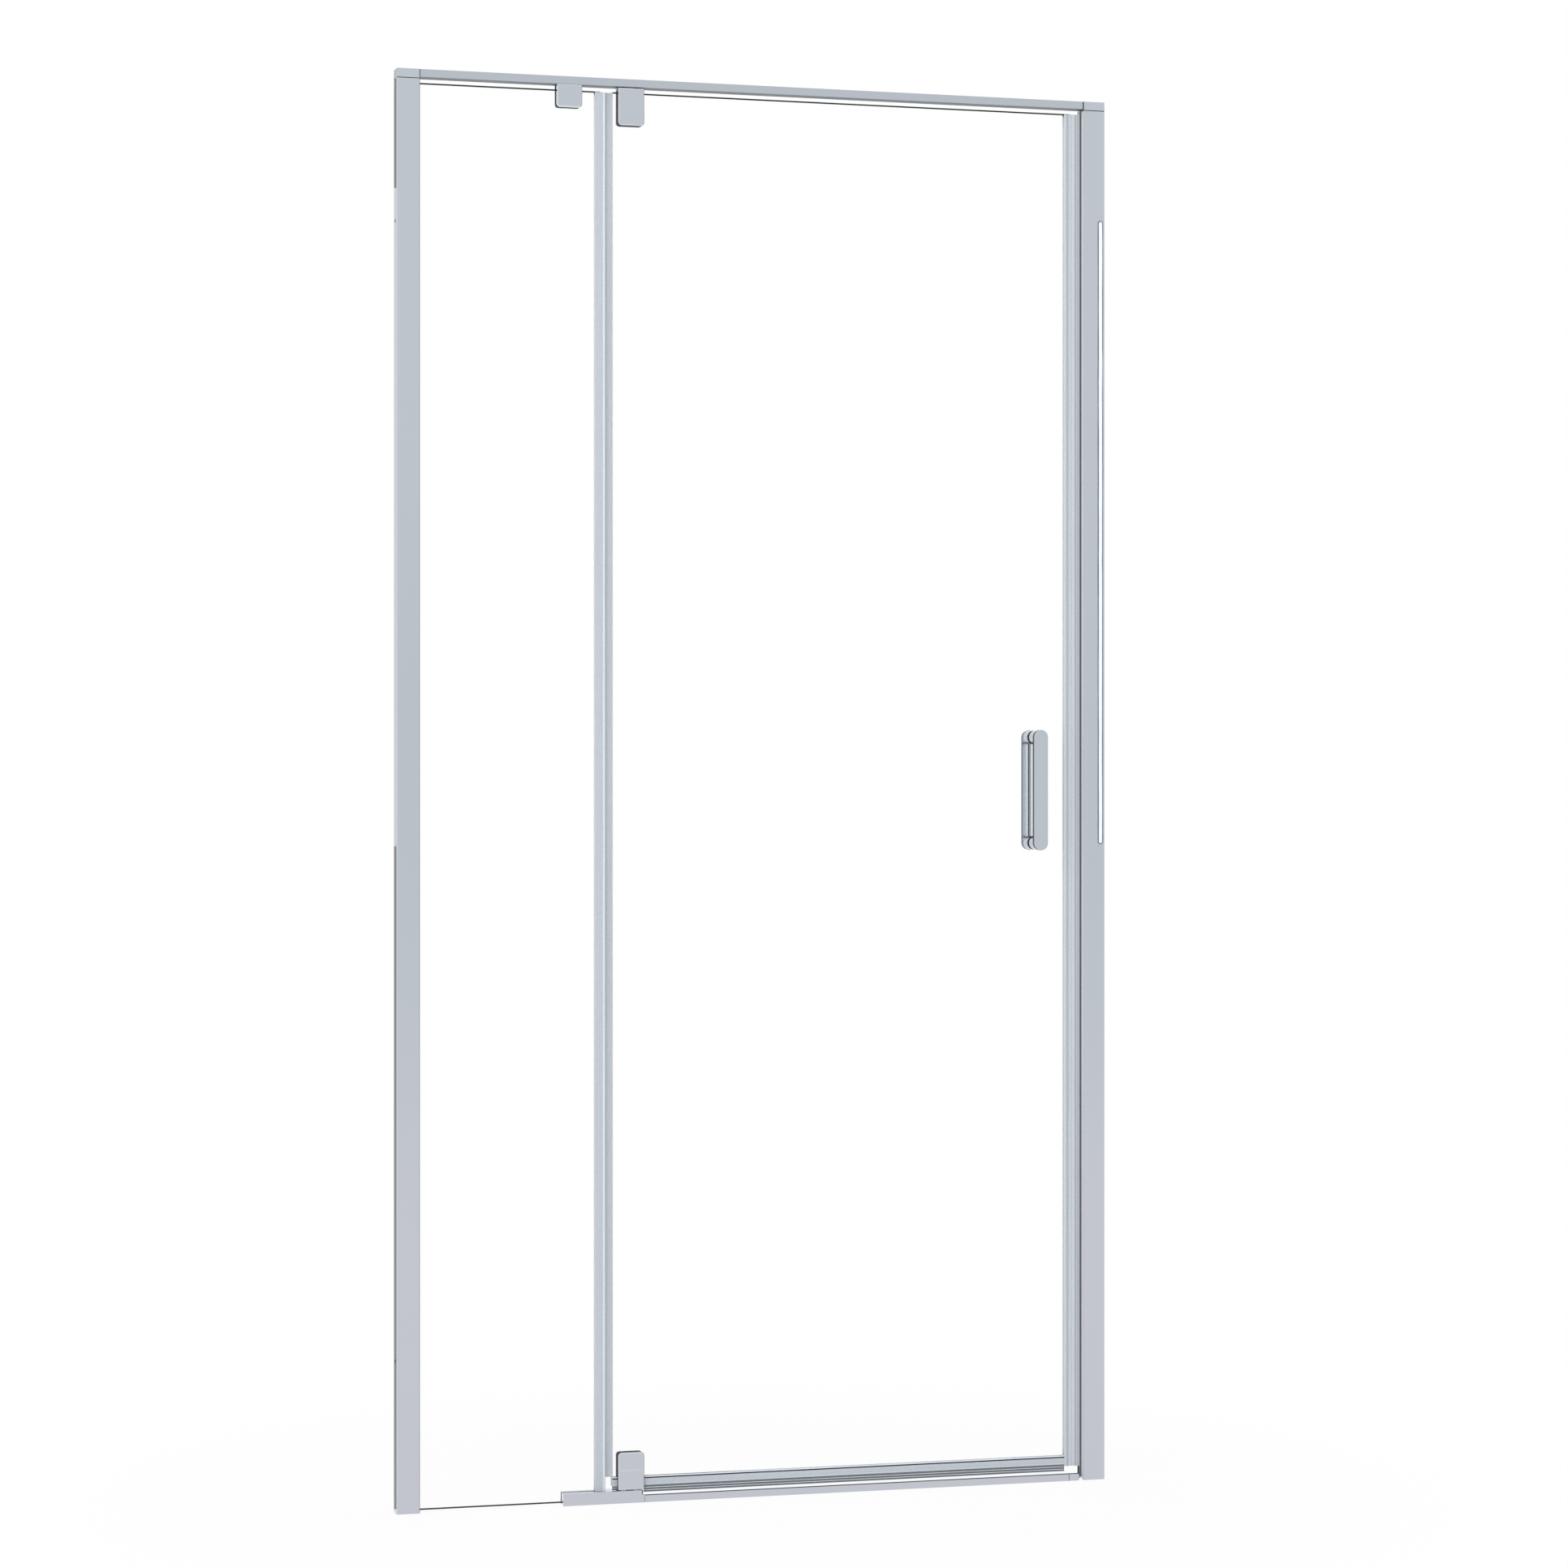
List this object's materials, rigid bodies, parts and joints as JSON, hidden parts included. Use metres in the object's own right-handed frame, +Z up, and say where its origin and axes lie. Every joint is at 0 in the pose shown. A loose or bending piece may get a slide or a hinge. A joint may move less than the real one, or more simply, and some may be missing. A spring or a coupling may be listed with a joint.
{
  "type": "pivot shower door",
  "caption": "Slim-framed shower door: a narrow fixed glass pane and a glass door that turns on top and bottom pivots, with seals, a low sill and a back-to-back handle.",
  "frame": {"origin": "middle of the frame at floor level, in the plane of the glass", "axes": "+Z up, +X towards the closing jamb, -Y towards the room, where the door opens"},
  "size_m": [0.988, 0.054, 1.9],
  "materials": {
    "frame_aluminium": "polished anodised",
    "chrome_fittings": "polished",
    "clear_glass": "clear",
    "clear_seal": "satin translucent",
    "gasket_rubber": "soft translucent",
    "bush_nylon": "matte",
    "screw_steel": "bright",
    "magnet_strip": "satin"
  },
  "bodies": {
    "frame": {"wall_channel_left": "frame_aluminium", "wall_channel_right": "frame_aluminium", "jamb_profile_left": "frame_aluminium", "jamb_profile_right": "frame_aluminium", "header_rail": "frame_aluminium", "header_cap_left": "chrome_fittings", "header_cap_right": "chrome_fittings", "fixed_glass": "clear_glass", "glazing_gasket": "gasket_rubber", "fixed_panel_edge_seal": "clear_seal", "glass_clamp_front_plate": "chrome_fittings", "glass_clamp_rear_body": "chrome_fittings", "glass_clamp_gaskets": "gasket_rubber", "glass_clamp_screw": "screw_steel", "top_pivot_bush": "bush_nylon", "bottom_pivot_bush": "bush_nylon", "bottom_pivot_block": "chrome_fittings", "pivot_block_liner": "gasket_rubber", "sill_rail": "frame_aluminium", "sill_end_block": "chrome_fittings", "strike_seal": "clear_seal", "strike_magnet": "magnet_strip"},
    "door": {"door_glass": "clear_glass", "top_hinge_front_plate": "chrome_fittings", "top_hinge_rear_body": "chrome_fittings", "top_hinge_gaskets": "gasket_rubber", "top_hinge_pin": "screw_steel", "hinge_screws": "screw_steel", "bottom_hinge_front_plate": "chrome_fittings", "bottom_hinge_rear_body": "chrome_fittings", "bottom_hinge_gaskets": "gasket_rubber", "bottom_hinge_pin": "screw_steel", "door_sweep": "clear_seal", "door_sweep_tail": "clear_seal", "door_magnet_seal": "clear_seal", "door_magnet_strip": "magnet_strip", "handle_grip_front": "chrome_fittings", "handle_grip_rear": "chrome_fittings", "handle_posts_front": "chrome_fittings", "handle_posts_rear": "chrome_fittings", "handle_washers": "bush_nylon"}
  },
  "joints": [
    {"name": "door_pivot", "type": "hinge", "parent": "frame", "child": "door", "pos_m": [-0.177, 0, 0], "axis": [0, 0, -1], "range_deg": [0, 110]}
  ]
}
